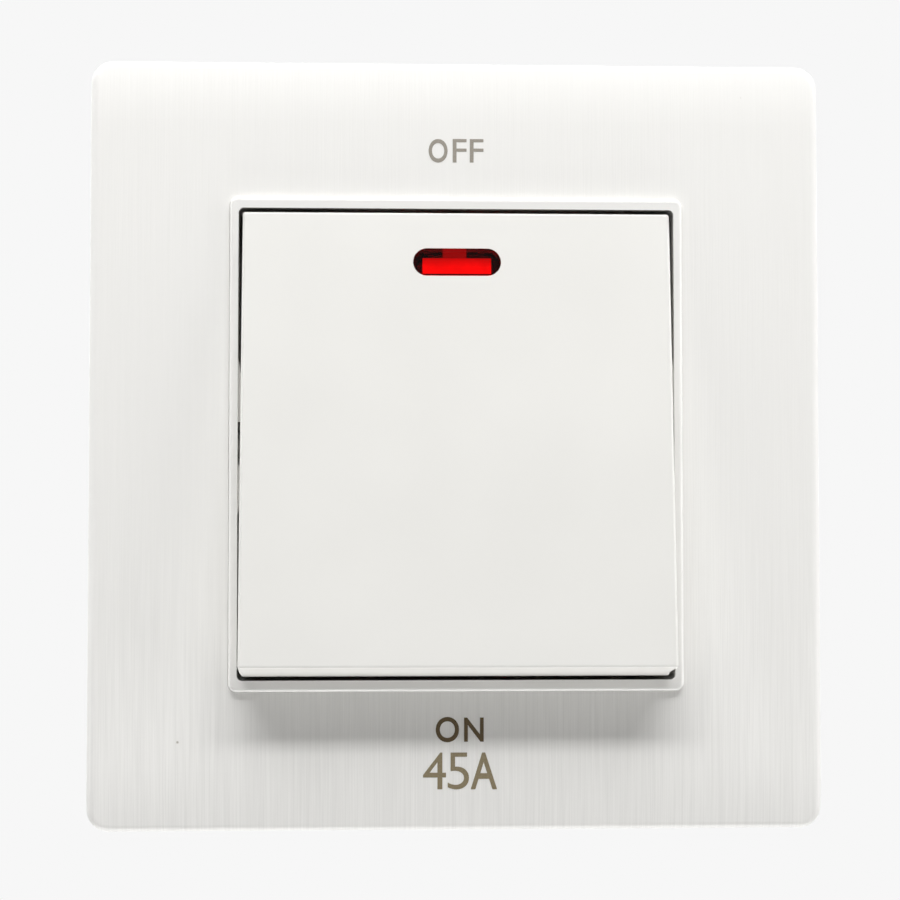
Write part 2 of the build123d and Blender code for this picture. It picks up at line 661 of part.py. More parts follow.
def mechanism_base():
    base = prism(RectangleRounded(BASE_WIDTH, BASE_HEIGHT, BASE_CORNER), BASE_LEVEL, 0)
    base = chamfer(base.faces().sort_by(Axis.Y)[-1].edges(), BASE_EDGE)
    lug_width = LUG_OFFSET + BASE_WALL
    lugs = four(LUG_X, LUG_Z, Circle(LUG_RADIUS))
    lugs += four(LUG_X - lug_width / 2, LUG_Z, Rectangle(lug_width, 2 * LUG_RADIUS))
    base += prism(lugs, -LUG_THICKNESS, 0)
    rim = RectangleRounded(COVER_WIDTH + 2 * FIT, COVER_HEIGHT + 2 * FIT, BASE_CORNER / 2)
    base -= prism(rim, COVER_BACK, 0)
    screw_gap = HOUSING_SCREW_RADIUS + FIT
    base -= prism(four(LUG_X, LUG_Z, Circle(screw_gap)), -LUG_THICKNESS, 0)
    for x in POLES.values():
        chamber = Pos(x, 0) * Rectangle(CHAMBER_WIDTH, CHAMBER_HEIGHT)
        base -= prism(chamber, CHAMBER_LEVEL, COVER_BACK)
        base -= Pos(x, -WIRE_LEVEL, 0) * Cylinder(WIRE_ENTRY, BASE_HEIGHT)
        for rib in base_ribs(x):
            base += rib
        for side in (UP, DOWN):
            for offset_z in (-CLAMP_SPACING / 2, CLAMP_SPACING / 2):
                hole = Pos(x, side * BLOCK_Z + offset_z) * Circle(CLAMP_HEAD_RADIUS + FIT)
                base -= prism(hole, BASE_LEVEL, CHAMBER_LEVEL)
    return base


def plunger_slot():
    """The cover's slot for one plunger, as long as the plunger swings with the rocker."""
    lean = math.radians(ROCKER_TILT)
    behind = PIVOT_LEVEL - COVER_BACK
    swing = behind * math.tan(lean) + PLUNGER_RADIUS / math.cos(lean) + SLOT_GAP
    return Rectangle(2 * (PLUNGER_RADIUS + SLOT_GAP), 2 * swing)


def cradle():
    """Two notched walls that the neon lamp lies in."""
    height = COVER_LEVEL + CRADLE_HEIGHT
    width = 2 * (LAMP_RADIUS + CRADLE_MARGIN)
    profile = Pos(LENS_Z, (COVER_LEVEL + height) / 2) * Rectangle(width, CRADLE_HEIGHT)
    profile -= Pos(LENS_Z, LAMP_LEVEL) * Circle(LAMP_RADIUS + RUNNING)
    return [span(profile, CRADLE_THICKNESS, side * CRADLE_SPACING / 2) for side in (UP, DOWN)]


def lead_positions():
    """X of the two places where the leads pass the cover, down to the load strips."""
    return -POLE_X + LEAD_OFFSET, POLE_X + LEAD_OFFSET


def mechanism_cover():
    corner = BASE_CORNER / 2 - FIT
    cover = prism(RectangleRounded(COVER_WIDTH, COVER_HEIGHT, corner), COVER_BACK, COVER_LEVEL)
    rim_z = (COVER_HEIGHT - COVER_RIM) / 2
    for side in (UP, DOWN):
        wall = Pos(0, side * rim_z) * Rectangle(COVER_WIDTH - 2 * corner, COVER_RIM)
        cover += prism(wall, COVER_LEVEL, -FIT)
    lean = math.radians(ROCKER_TILT)
    inside = ROCKER_REACH - ROCKER_FACE
    post_level = PIVOT_LEVEL + inside * math.cos(lean) - (POST_Z + POST_RADIUS) * math.sin(lean)
    cover += prism(four(POST_X, POST_Z, Circle(POST_RADIUS)), COVER_LEVEL, post_level - POST_GAP)
    for wall in cradle():
        cover += wall
    for x in POLES.values():
        cover -= prism(Pos(x, 0) * plunger_slot(), COVER_BACK, COVER_LEVEL)
    for x in lead_positions():
        hole = Pos(x, LENS_Z) * Circle(LEAD_RADIUS + LEAD_HOLE_GAP)
        cover -= prism(hole, COVER_BACK, COVER_LEVEL)
    return cover


def housing_screw():
    screw = prism(Circle(HOUSING_SCREW_RADIUS), 0, HOUSING_SCREW_LENGTH)
    head = prism(Circle(HOUSING_HEAD_RADIUS), -HOUSING_HEAD_HEIGHT, 0)
    screw += chamfer(head.edges().sort_by(Axis.Y)[-1], HOUSING_HEAD_HEIGHT / 3)
    for turn in (0, 90):
        drive = Rot(Z=turn) * Rectangle(HOUSING_HEAD_RADIUS, DRIVE_WIDTH)
        screw -= prism(drive, -HOUSING_HEAD_HEIGHT, DRIVE_DEPTH - HOUSING_HEAD_HEIGHT)
    return screw


def housing_screws():
    corners = [(x, z) for x in (-LUG_X, LUG_X) for z in (-LUG_Z, LUG_Z)]
    return [Pos(x, LUG_THICKNESS, z) * housing_screw() for x, z in corners]


def neon_lamp():
    lamp = bar(LAMP_RADIUS, -LAMP_END, LAMP_END)
    lamp = chamfer(lamp.edges().sort_by(Axis.X)[0], LAMP_RADIUS / 2)
    return Pos(0, -LAMP_LEVEL, LENS_Z) * lamp


def neon_resistor():
    start = LAMP_END + RESISTOR_GAP
    resistor = bar(RESISTOR_RADIUS, start, start + RESISTOR_LENGTH)
    resistor = chamfer(resistor.edges().filter_by(GeomType.CIRCLE), RESISTOR_RADIUS / 3)
    return Pos(0, -LAMP_LEVEL, LENS_Z) * resistor


def lead(start, end):
    """A wire from a lamp or resistor end, out along X and back to the load strip's face."""
    path = FilletPolyline(
        (start, -LAMP_LEVEL, LENS_Z),
        (end, -LAMP_LEVEL, LENS_Z),
        (end, -TAIL_LEVEL, LENS_Z),
        radius=LEAD_BEND,
    )
    section = Plane(origin=path @ 0, z_dir=path % 0) * RegularPolygon(LEAD_RADIUS, WIRE_SIDES)
    return sweep(section, path=path)


def neon_leads():
    left, right = lead_positions()
    start = LAMP_END + RESISTOR_GAP
    bridge = Pos(0, -LAMP_LEVEL, LENS_Z) * bar(LEAD_RADIUS, LAMP_END, start)
    return [lead(-LAMP_END, left), bridge, lead(start + RESISTOR_LENGTH, right)]


def write(name, shape):
    """One STEP file for one named piece, or for a group of identical ones."""
    solids = shape if isinstance(shape, list) else [shape]
    export_step(Compound(label=name, children=solids), f"parts/{name}.step")


write("front_plate", front_plate())
write("mounting_frame", mounting_frame())
write("rocker", rocker())
write("indicator_lens", indicator_lens())
write("mechanism_base", mechanism_base())
write("mechanism_cover", mechanism_cover())
for pole_name, pole_x in POLES.items():
    write(f"{pole_name}_plunger", plunger(pole_x))
    write(f"{pole_name}_plunger_spring", plunger_spring(pole_x))
    write(f"{pole_name}_contact_arm", contact_arm(pole_x))
    write(f"{pole_name}_moving_contact", moving_contact(pole_x))
    write(f"{pole_name}_fixed_contact", fixed_contact(pole_x))
    write(f"{pole_name}_supply_strip", supply_strip(pole_x))
    write(f"{pole_name}_load_strip", load_strip(pole_x))
    write(f"{pole_name}_supply_terminal", terminal_block(pole_x, DOWN))
    write(f"{pole_name}_load_terminal", terminal_block(pole_x, UP))
write("terminal_screws", terminal_screws())
write("housing_screws", housing_screws())
write("neon_lamp", neon_lamp())
write("neon_resistor", neon_resistor())
write("neon_leads", neon_leads())
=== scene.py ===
import json
import math

import bmesh
import bpy
from mathutils import Matrix, Vector

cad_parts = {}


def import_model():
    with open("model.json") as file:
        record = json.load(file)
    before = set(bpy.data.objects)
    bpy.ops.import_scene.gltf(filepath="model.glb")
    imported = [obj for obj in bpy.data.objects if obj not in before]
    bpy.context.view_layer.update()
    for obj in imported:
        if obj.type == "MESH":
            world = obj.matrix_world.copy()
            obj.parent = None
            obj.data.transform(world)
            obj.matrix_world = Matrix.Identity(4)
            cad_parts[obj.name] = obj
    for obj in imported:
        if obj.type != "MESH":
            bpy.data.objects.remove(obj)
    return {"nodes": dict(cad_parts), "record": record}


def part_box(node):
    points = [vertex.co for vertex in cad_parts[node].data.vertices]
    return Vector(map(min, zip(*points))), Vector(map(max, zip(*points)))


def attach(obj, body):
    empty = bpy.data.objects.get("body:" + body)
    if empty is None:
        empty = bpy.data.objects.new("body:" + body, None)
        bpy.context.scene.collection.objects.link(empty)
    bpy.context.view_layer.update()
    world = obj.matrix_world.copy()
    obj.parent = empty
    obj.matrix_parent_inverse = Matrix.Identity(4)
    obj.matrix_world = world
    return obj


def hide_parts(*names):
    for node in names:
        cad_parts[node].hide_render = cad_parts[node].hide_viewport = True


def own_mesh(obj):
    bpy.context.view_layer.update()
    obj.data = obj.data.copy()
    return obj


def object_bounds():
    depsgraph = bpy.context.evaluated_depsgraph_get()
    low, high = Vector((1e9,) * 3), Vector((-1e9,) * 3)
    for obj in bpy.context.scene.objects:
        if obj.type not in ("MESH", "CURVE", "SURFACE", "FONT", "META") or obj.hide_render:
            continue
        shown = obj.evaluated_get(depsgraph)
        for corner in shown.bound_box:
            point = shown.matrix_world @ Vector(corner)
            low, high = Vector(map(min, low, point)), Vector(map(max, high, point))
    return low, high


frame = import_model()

cad_low, cad_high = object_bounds()

# The looks of a large double-pole wall switch: a brushed white plate, a glossy surround and rocker,
# a red neon window, printed words, and the mechanism behind the wall plane.
# X is to the right, Z is up and the room is towards -Y. Lengths are in metres.
MM = 0.001
SCENE = bpy.context.scene
# Contrast of the plate's hairlines, which show more low down, and the heights between which it changes
HAIRLINES_LOW = 1.9
HAIRLINES_HIGH = 0.35
HAIRLINES_FROM = -33.0
HAIRLINES_TO = -8.0
# Level of the plate's printed front, and its two specks of dirt: across, up and radius
PRINT_LEVEL = 8.0
SPECKS = ((-32.4, -34.7, 0.2), (33.8, 41.2, 0.14))
# How far the hairlines' tone goes each way from plain, and how many times its sharp core a speck is wide
TONE_SPREAD = 0.6
SPECK_SOFTNESS = 3
# Refractive indices. The lens's is below that of acrylic, because it shows hardly any reflection.
ABS_INDEX = 1.53
PLASTIC_INDEX = 1.5
ACRYLIC_INDEX = 1.49
GLASS_INDEX = 1.51
LENS_INDEX = 1.15
# The painted light of the lens's two matt faces, which glow red in place of the light the clear lens
# gathers, and the heights between which it grows dim, a painted shade under the top of the recess
FACE_PAINTED_GLOW_STRENGTH = 2.0
TAB_PAINTED_GLOW_STRENGTH = 1.3
FACE_BRIGHT_Z = 20.7
FACE_DIM_Z = 21.9


def level(mm):
    """Y of a place this many millimetres in front of the wall plane."""
    return -mm * MM


# Colours and shader nodes


def linear(code):
    """An sRGB colour such as '#F2F1EC' as linear red, green, blue and alpha."""
    channels = [int(code[i:i + 2], 16) / 255 for i in (1, 3, 5)]
    return [c / 12.92 if c <= 0.04045 else ((c + 0.055) / 1.055) ** 2.4 for c in channels] + [1.0]


def add(tree, kind, inputs=None, **settings):
    """Adds one node. Each input is a plain value or the output socket that feeds it."""
    node = tree.nodes.new(kind)
    for name, value in settings.items():
        setattr(node, name, value)
    for name, value in (inputs or {}).items():
        if isinstance(value, bpy.types.NodeSocket):
            tree.links.new(value, node.inputs[name])
        else:
            node.inputs[name].default_value = value
    return node


def material(name, **surface):
    """A new material with a Principled shader, and its tree and shader to build on."""
    made = bpy.data.materials.new(name)
    made.use_nodes = True
    tree = made.node_tree
    shader = tree.nodes["Principled BSDF"]
    for socket, value in surface.items():
        shader.inputs[socket.replace("_", " ")].default_value = value
    return made, tree, shader


def noise(tree, size, detail=2.0, roughness=0.5, stretch=(1, 1, 1)):
    """Noise whose features are about size wide along each axis, times its stretch."""
    place = add(tree, "ShaderNodeTexCoord").outputs["Object"]
    scale = [1 / (size * s) for s in stretch]
    place = add(tree, "ShaderNodeMapping", {"Vector": place, "Scale": scale}).outputs["Vector"]
    inputs = {"Vector": place, "Scale": 1.0, "Detail": detail, "Roughness": roughness}
    return add(tree, "ShaderNodeTexNoise", inputs).outputs["Fac"]


def between(tree, amount, low, high, start=0.3, end=0.7):
    """A value or a colour that goes from low to high as the amount goes from start to end."""
    spread = add(tree, "ShaderNodeMapRange", {"Value": amount, "From Min": start, "From Max": end})
    if isinstance(low, str):
        mix = add(tree, "ShaderNodeMix", {"Factor": spread.outputs["Result"]}, data_type="RGBA")
        mix.inputs["A"].default_value = linear(low)
        mix.inputs["B"].default_value = linear(high)
        return mix.outputs["Result"]
    spread.inputs["To Min"].default_value = low
    spread.inputs["To Max"].default_value = high
    return spread.outputs["Result"]


def emboss(tree, shader, height, depth, strength=1.0):
    """Feeds the shader a relief of this real depth."""
    inputs = {"Height": height, "Distance": depth, "Strength": strength}
    tree.links.new(add(tree, "ShaderNodeBump", inputs).outputs["Normal"], shader.inputs["Normal"])


def feed(tree, shader, socket, value):
    """Links an output to one of the shader's inputs."""
    tree.links.new(value, shader.inputs[socket])


# Plastics


def brushed_abs():
    """Injection-moulded ABS under a brushed film: a satin white with fine upright hairlines."""
    made, tree, shader = material("brushed_white_abs", IOR=ABS_INDEX)
    fine = noise(tree, 0.16 * MM, detail=1.0, stretch=(1, 40, 60))
    wide = noise(tree, 0.34 * MM, detail=3.0, roughness=0.6, stretch=(1, 40, 60))
    lines = add(tree, "ShaderNodeMath", {0: fine, 1: wide}, operation="ADD").outputs["Value"]
    place = add(tree, "ShaderNodeTexCoord").outputs["Object"]
    height = add(tree, "ShaderNodeSeparateXYZ", {"Vector": place}).outputs["Z"]
    start, end = HAIRLINES_FROM * MM, HAIRLINES_TO * MM
    contrast = between(tree, height, HAIRLINES_LOW, HAIRLINES_HIGH, start, end)
    offset = add(tree, "ShaderNodeMath", {0: lines, 1: 1.0}, operation="SUBTRACT").outputs["Value"]
    tone = add(tree, "ShaderNodeMath", {0: offset, 1: contrast}, operation="MULTIPLY").outputs["Value"]
    colour = between(tree, tone, "#EBEAE7", "#F5F4F1", -TONE_SPREAD, TONE_SPREAD)
    for x, z, radius in SPECKS:
        middle = Vector((x * MM, level(PRINT_LEVEL), z * MM))
        gap = add(tree, "ShaderNodeVectorMath", {0: place, 1: middle}, operation="DISTANCE")
        core = radius / SPECK_SOFTNESS * MM
        inside = between(tree, gap.outputs["Value"], 0.0, 1.0, radius * MM, core)
        layers = {"Factor": inside, "A": colour, "B": linear("#B4B0A5")}
        colour = add(tree, "ShaderNodeMix", layers, data_type="RGBA").outputs["Result"]
    feed(tree, shader, "Base Color", colour)
    feed(tree, shader, "Roughness", between(tree, fine, 0.38, 0.48))
    emboss(tree, shader, lines, 0.016 * MM, 0.7)
    return made


def gloss_abs(name, light, dark, roughness):
    """ABS from a polished mould: a smooth gloss with the faintest waves and cloudiness."""
    made, tree, shader = material(name, IOR=ABS_INDEX)
    cloud = noise(tree, 14 * MM, detail=1.0)
    feed(tree, shader, "Base Color", between(tree, cloud, dark, light))
    feed(tree, shader, "Roughness", between(tree, noise(tree, 3 * MM), roughness, roughness + 0.05))
    emboss(tree, shader, noise(tree, 2.5 * MM, detail=0.0), 0.002 * MM, 0.6)
    return made


def moulded(name, light, dark, roughness=0.5, grain=0.35):
    """Plastic from a spark-eroded mould: a fine even grain, coarser than life so that it shows."""
    made, tree, shader = material(name, IOR=PLASTIC_INDEX)
    cloud = noise(tree, 6 * MM, detail=3.0)
    feed(tree, shader, "Base Color", between(tree, cloud, dark, light))
    relief = noise(tree, grain * MM, detail=2.0)
    feed(tree, shader, "Roughness", between(tree, relief, roughness, roughness + 0.12))
    emboss(tree, shader, relief, 0.03 * MM, 0.6)
    return made


def natural_nylon(name, light, dark):
    """Unpigmented nylon, moulded: waxy and slightly translucent, so light spreads in it."""
    surface = {"IOR": ABS_INDEX, "Subsurface_Weight": 0.25, "Subsurface_Scale": 1.5 * MM}
    made, tree, shader = material(name, **surface)
    shader.inputs["Subsurface Radius"].default_value = (1.0, 0.9, 0.7)
    feed(tree, shader, "Base Color", between(tree, noise(tree, 4 * MM), dark, light))
    feed(tree, shader, "Roughness", between(tree, noise(tree, 0.8 * MM), 0.32, 0.45))
    emboss(tree, shader, noise(tree, 0.5 * MM), 0.01 * MM, 0.5)
    return made


def clear_red_acrylic():
    """Dyed acrylic, moulded and polished: deep red where it is thick and nothing lies behind it."""
    surface = {"Roughness": 0.03, "IOR": LENS_INDEX, "Transmission_Weight": 1.0}
    made, tree, shader = material("clear_red_acrylic", **surface)
    depth = noise(tree, 2 * MM)
    feed(tree, shader, "Base Color", between(tree, depth, "#B00505", "#C40808"))
    return made


def matt_red_acrylic_painted_light(name, glow):
    """A matt inner face of the lens. It gives off red light, which is painted light, and grows dim
    towards the top, which is painted shade under the top of the recess.
    """
    surface = {"Roughness": 0.6, "IOR": ACRYLIC_INDEX, "Specular_IOR_Level": 0.0}
    made, tree, shader = material(name, **surface)
    place = add(tree, "ShaderNodeTexCoord").outputs["Object"]
    height = add(tree, "ShaderNodeSeparateXYZ", {"Vector": place}).outputs["Z"]
    shade = between(tree, height, "#FF1008", "#A80806", FACE_BRIGHT_Z * MM, FACE_DIM_Z * MM)
    streaks = noise(tree, 0.35 * MM, detail=2.0, stretch=(6, 6, 1))
    feed(tree, shader, "Base Color", between(tree, streaks, "#5C0000", "#7A0302"))
    feed(tree, shader, "Emission Color", shade)
    shader.inputs["Emission Strength"].default_value = glow
    emboss(tree, shader, streaks, 0.05 * MM, 0.5)
    return made


def printing_ink(name, dark, light):
    """Pad-printed ink, thin and satin: a warm brown or grey that covers unevenly at a fine scale."""
    made, tree, shader = material(name, IOR=PLASTIC_INDEX)
    patches = noise(tree, 0.25 * MM, detail=3.0)
    feed(tree, shader, "Base Color", between(tree, patches, dark, light))
    feed(tree, shader, "Roughness", between(tree, patches, 0.45, 0.6))
    return made


# Metals


def plated_steel():
    """Zinc-plated steel: bright grey with soft blue and straw patches and turned rings."""
    made, tree, shader = material("zinc_plated_steel", Metallic=1.0)
    patches = noise(tree, 2.5 * MM, detail=3.0)
    feed(tree, shader, "Base Color", between(tree, patches, "#B9BDC2", "#CBC8BC"))
    feed(tree, shader, "Roughness", between(tree, noise(tree, 0.5 * MM), 0.24, 0.38))
    emboss(tree, shader, noise(tree, 0.3 * MM), 0.006 * MM, 0.5)
    return made


def drawn_wire(name, light, dark, roughness):
    """Drawn metal wire: smooth, with faint lines along it."""
    made, tree, shader = material(name, Metallic=1.0)
    lines = noise(tree, 0.15 * MM, stretch=(1, 6, 6))
    feed(tree, shader, "Base Color", between(tree, lines, dark, light))
    feed(tree, shader, "Roughness", between(tree, lines, roughness, roughness + 0.12))
    return made


def rolled_copper():
    """Rolled copper strip: warm and bright, with roll lines along it and a start of tarnish."""
    made, tree, shader = material("rolled_copper", Metallic=1.0)
    tarnish = noise(tree, 3.5 * MM, detail=4.0, roughness=0.6)
    feed(tree, shader, "Base Color", between(tree, tarnish, "#D99A78", "#B8704C", 0.4, 0.75))
    lines = noise(tree, 0.12 * MM, stretch=(1, 30, 30))
    feed(tree, shader, "Roughness", between(tree, tarnish, 0.22, 0.4))
    emboss(tree, shader, lines, 0.005 * MM, 0.5)
    return made


def satin_silver():
    """Silver contact rivets, coined: nearly white metal with a satin face."""
    made, tree, shader = material("satin_silver", Metallic=1.0)
    film = noise(tree, 0.9 * MM, detail=3.0)
    feed(tree, shader, "Base Color", between(tree, film, "#DEDAD2", "#F1EEE8"))
    feed(tree, shader, "Roughness", between(tree, film, 0.2, 0.35))
    return made


def machined_brass():
    """Brass bar, sawn and milled: yellow, with cutter lines across it."""
    made, tree, shader = material("machined_brass", Metallic=1.0)
    lines = noise(tree, 0.18 * MM, detail=1.0, stretch=(20, 20, 1))
    feed(tree, shader, "Base Color", between(tree, noise(tree, 3 * MM), "#C9A45C", "#DDBE7A"))
    feed(tree, shader, "Roughness", between(tree, lines, 0.22, 0.38))
    emboss(tree, shader, lines, 0.008 * MM, 0.6)
    return made


# The neon lamp's circuit


def lamp_glass():
    """Drawn soda glass: clear, with the faint streaks of the tube."""
    surface = {"Roughness": 0.02, "IOR": GLASS_INDEX, "Transmission_Weight": 1.0}
    made, tree, shader = material("lamp_glass", **surface)
    streaks = noise(tree, 0.6 * MM, stretch=(12, 1, 1))
    feed(tree, shader, "Base Color", between(tree, streaks, "#F2EFEA", "#FFFFFF"))
    return made


def lacquered_resistor(start, length):
    """Dipped in lacquer, with four printed bands: a beige gloss under generic colour rings."""
    made, tree, shader = material("lacquered_resistor", Roughness=0.28, IOR=PLASTIC_INDEX)
    bands = (("#5B2F16", 0.16), ("#1C1A1A", 0.34), ("#C8A018", 0.52), ("#A9853B", 0.8))
    band_half = 0.045
    place = add(tree, "ShaderNodeTexCoord").outputs["Object"]
    along = add(tree, "ShaderNodeSeparateXYZ", {"Vector": place}).outputs["X"]
    reach = {"Value": along, "From Min": start, "From Max": start + length}
    share = add(tree, "ShaderNodeMapRange", reach).outputs["Result"]
    colour = between(tree, noise(tree, 1.2 * MM), "#CDB382", "#DAC495")
    for code, middle in bands:
        inside = share
        for value, operation in ((middle, "SUBTRACT"), (0.0, "ABSOLUTE"), (band_half, "LESS_THAN")):
            step = add(tree, "ShaderNodeMath", {0: inside, 1: value}, operation=operation)
            inside = step.outputs["Value"]
        layers = {"Factor": inside, "A": colour, "B": linear(code)}
        colour = add(tree, "ShaderNodeMix", layers, data_type="RGBA").outputs["Result"]
    feed(tree, shader, "Base Color", colour)
    return made


resistor_low, resistor_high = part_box("neon_resistor")
PLATE = brushed_abs()
SURROUND = gloss_abs("gloss_white_abs", "#EFEEEB", "#ECEBE8", 0.16)
ROCKER = gloss_abs("gloss_white_polycarbonate", "#ECEBE7", "#E9E8E4", 0.2)
LENS = clear_red_acrylic()
# Painted light: the lens's two inner faces glow red, and painted shade dims their tops
LENS_FACE_PAINTED_LIGHT = matt_red_acrylic_painted_light("matt_red_acrylic_painted_light", FACE_PAINTED_GLOW_STRENGTH)
LENS_TAB_PAINTED_GLINT = matt_red_acrylic_painted_light("deep_acrylic_painted_glint", TAB_PAINTED_GLOW_STRENGTH)
GREY_INK = printing_ink("grey_ink", "#8F897F", "#9A948A")
BROWN_INK = printing_ink("brown_ink", "#3F2F0F", "#4E3C18")
OLIVE_INK = printing_ink("olive_ink", "#7B6F54", "#897D63")
BASE = moulded("grey_urea", "#D9D8D3", "#CFCEC9")
COVER = natural_nylon("moulded_nylon", "#E9E4D6", "#DFD9C9")
PLUNGER = natural_nylon("plunger_nylon", "#F0ECE0", "#E6E1D2")
STEEL = plated_steel()
SPRING = drawn_wire("spring_steel_wire", "#A9A9A9", "#7F8184", 0.22)
COPPER = rolled_copper()
SILVER = satin_silver()
BRASS = machined_brass()
GLASS = lamp_glass()
RESISTOR = lacquered_resistor(resistor_low.x, resistor_high.x - resistor_low.x)
TINNED = drawn_wire("tinned_copper_wire", "#D2D3D1", "#B4B6B7", 0.3)

FINISHES = {
    "plate_white": PLATE,
    "surround_white": SURROUND,
    "rocker_white": ROCKER,
    "red_lens": LENS,
    "base_grey": BASE,
    "cover_nylon": COVER,
    "plunger_nylon": PLUNGER,
    "plated_steel": STEEL,
    "spring_steel": SPRING,
    "copper": COPPER,
    "silver": SILVER,
    "brass": BRASS,
    "lamp_glass": GLASS,
    "resistor_body": RESISTOR,
    "tinned_wire": TINNED,
}


def dress_cad_nodes():
    """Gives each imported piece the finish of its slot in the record."""
    for subpart in frame["record"]["subparts"]:
        node = frame["nodes"][subpart["node"]]
        node.data.materials.clear()
        node.data.materials.append(FINISHES[subpart["material_slot"]])


dress_cad_nodes()


# Pieces that scene.py adds: the lettering, the lens's two inner faces and copies of the springs
# Lengths here are in millimetres.

# How much heavier than the plain font each letter is drawn, as a share of its size
LETTER_WEIGHT = {"O": 0.018, "F": 0.002, "N": 0.018, "4": 0.0, "5": -0.005, "A": 0.01}
# The bands along the plate's top and bottom edge that curve back, where the last letters reach
CURVE_START = 38.15
CURVE_WIDTH = 7.0
CURVE_DROP = 0.55
CURVE_CUTS = 6
CURVE_STEP = 0.4
INK_THICKNESS = 0.02
# Cuts of each curve and half the depth of a letter of size 1, and how near its corners are joined
LETTER_SMOOTHNESS = 8
LETTER_DEPTH = 0.01
LETTER_MERGE = 1e-6
# The rocker and the lens as they are packed, in front of the rocker's pivot, and the lens's two faces
ROCKER_PIVOT_LEVEL = 4.8
ROCKER_TILT = 6.0
LENS_FACE = 6.6
LENS_Z = 20.65
LENS_WINDOW = 0.8
RECESS_WIDTH = 8.1
RECESS_HEIGHT = 1.9
RECESS_DROP = 0.3
FACE_THICKNESS = 0.1
FACE_GAP = 0.02
TAB_LEFT = -1.6
TAB_RIGHT = 1.2
TAB_RISE = 1.6
TAB_BACK = 3.78
# How near the coil's points are joined
MERGE_WITHIN = 0.001

# Each letter with the left, right, bottom and top of its ink, in millimetres from the plate's middle
OFF_LETTERS = (
    ("O", -3.31, -1.07, 33.17, 35.96),
    ("F", -0.47, 1.17, 33.19, 35.98),
    ("F", 1.55, 3.17, 33.2, 35.99),
)
ON_LETTERS = (
    ("O", -2.45, 0.27, -34.83, -31.9),
    ("N", 0.86, 3.15, -34.78, -31.98),
)
RATING_LETTERS = (
    ("4", -3.93, -1.25, -40.28, -36.02),
    ("5", -1.05, 1.43, -40.3, -36.03),
    ("A", 1.63, 4.71, -40.3, -36.04),
)


def rocker_frame():
    """From upright at the origin, with reach along -Y, to the rocker as the part is modelled."""
    lean = Matrix.Rotation(math.radians(-ROCKER_TILT), 4, "X")
    return Matrix.Translation((0, level(ROCKER_PIVOT_LEVEL), 0)) @ lean


def finished(name, shape, finish, body):
    """Makes a piece of a bmesh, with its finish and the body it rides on."""
    mesh = bpy.data.meshes.new(name)
    bmesh.ops.recalc_face_normals(shape, faces=shape.faces)
    shape.to_mesh(mesh)
    shape.free()
    mesh.materials.append(finish)
    piece = bpy.data.objects.new(name, mesh)
    SCENE.collection.objects.link(piece)
    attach(piece, body)
    return piece


def block(shape, left, right, back, front, low, high):
    """Adds a box to a bmesh. Back and front are levels, and all is in millimetres."""
    size = Matrix.Diagonal(((right - left) * MM, (front - back) * MM, (high - low) * MM, 1))
    middle = ((left + right) / 2 * MM, level((front + back) / 2), (low + high) / 2 * MM)
    bmesh.ops.create_cube(shape, size=1.0, matrix=Matrix.Translation(middle) @ size)


def letter_mesh(letter):
    """One letter of the built-in font as a flat mesh that is pulled into a thin solid."""
    curve = bpy.data.curves.new("letter", "FONT")
    curve.body = letter
    curve.size = 1.0
    curve.offset = LETTER_WEIGHT[letter]
    curve.resolution_u = LETTER_SMOOTHNESS
    curve.fill_mode = "BOTH"
    curve.extrude = LETTER_DEPTH
    text = bpy.data.objects.new("letter", curve)
    SCENE.collection.objects.link(text)
    graph = bpy.context.evaluated_depsgraph_get()
    mesh = bpy.data.meshes.new_from_object(text.evaluated_get(graph))
    bpy.data.objects.remove(text)
    bpy.data.curves.remove(curve)
    shape = bmesh.new()
    shape.from_mesh(mesh)
    bpy.data.meshes.remove(mesh)
    bmesh.ops.remove_doubles(shape, verts=shape.verts, dist=LETTER_MERGE)
    return shape


def follow_front(shape):
    """Lets a print lie on the plate's front, also where that curves back."""
    for side in (-1, 1):
        for step in range(CURVE_CUTS):
            cut = side * (CURVE_START + step * CURVE_STEP) * MM
            parts = shape.verts[:] + shape.edges[:] + shape.faces[:]
            bmesh.ops.bisect_plane(shape, geom=parts, plane_co=(0, 0, cut), plane_no=(0, 0, 1))
    for vert in shape.verts:
        past = max(abs(vert.co.z) / MM - CURVE_START, 0)
        vert.co.y += CURVE_DROP * (past / CURVE_WIDTH) ** 2 * MM


def lettering(name, letters, finish):
    """A printed word whose every letter fills its measured box."""
    word = bmesh.new()
    for letter, left, right, low, high in letters:
        shape = letter_mesh(letter)
        corners = [v.co for v in shape.verts]
        start = Vector([min(c[i] for c in corners) for i in range(3)])
        end = Vector([max(c[i] for c in corners) for i in range(3)])
        middle = (start + end) / 2
        bmesh.ops.translate(shape, verts=shape.verts, vec=-middle)
        wanted = ((right - left) * MM, (high - low) * MM, INK_THICKNESS * MM)
        growth = [w / (e - s) for w, s, e in zip(wanted, start, end)]
        bmesh.ops.scale(shape, verts=shape.verts, vec=growth)
        upright = Matrix.Rotation(math.radians(90), 4, "X")
        bmesh.ops.transform(shape, matrix=upright, verts=shape.verts)
        front = level(PRINT_LEVEL + INK_THICKNESS / 2)
        place = ((left + right) / 2 * MM, front, (low + high) / 2 * MM)
        bmesh.ops.translate(shape, verts=shape.verts, vec=place)
        part = bpy.data.meshes.new("letter")
        shape.to_mesh(part)
        shape.free()
        word.from_mesh(part)
        bpy.data.meshes.remove(part)
    follow_front(word)
    finished(name, word, finish, "housing")


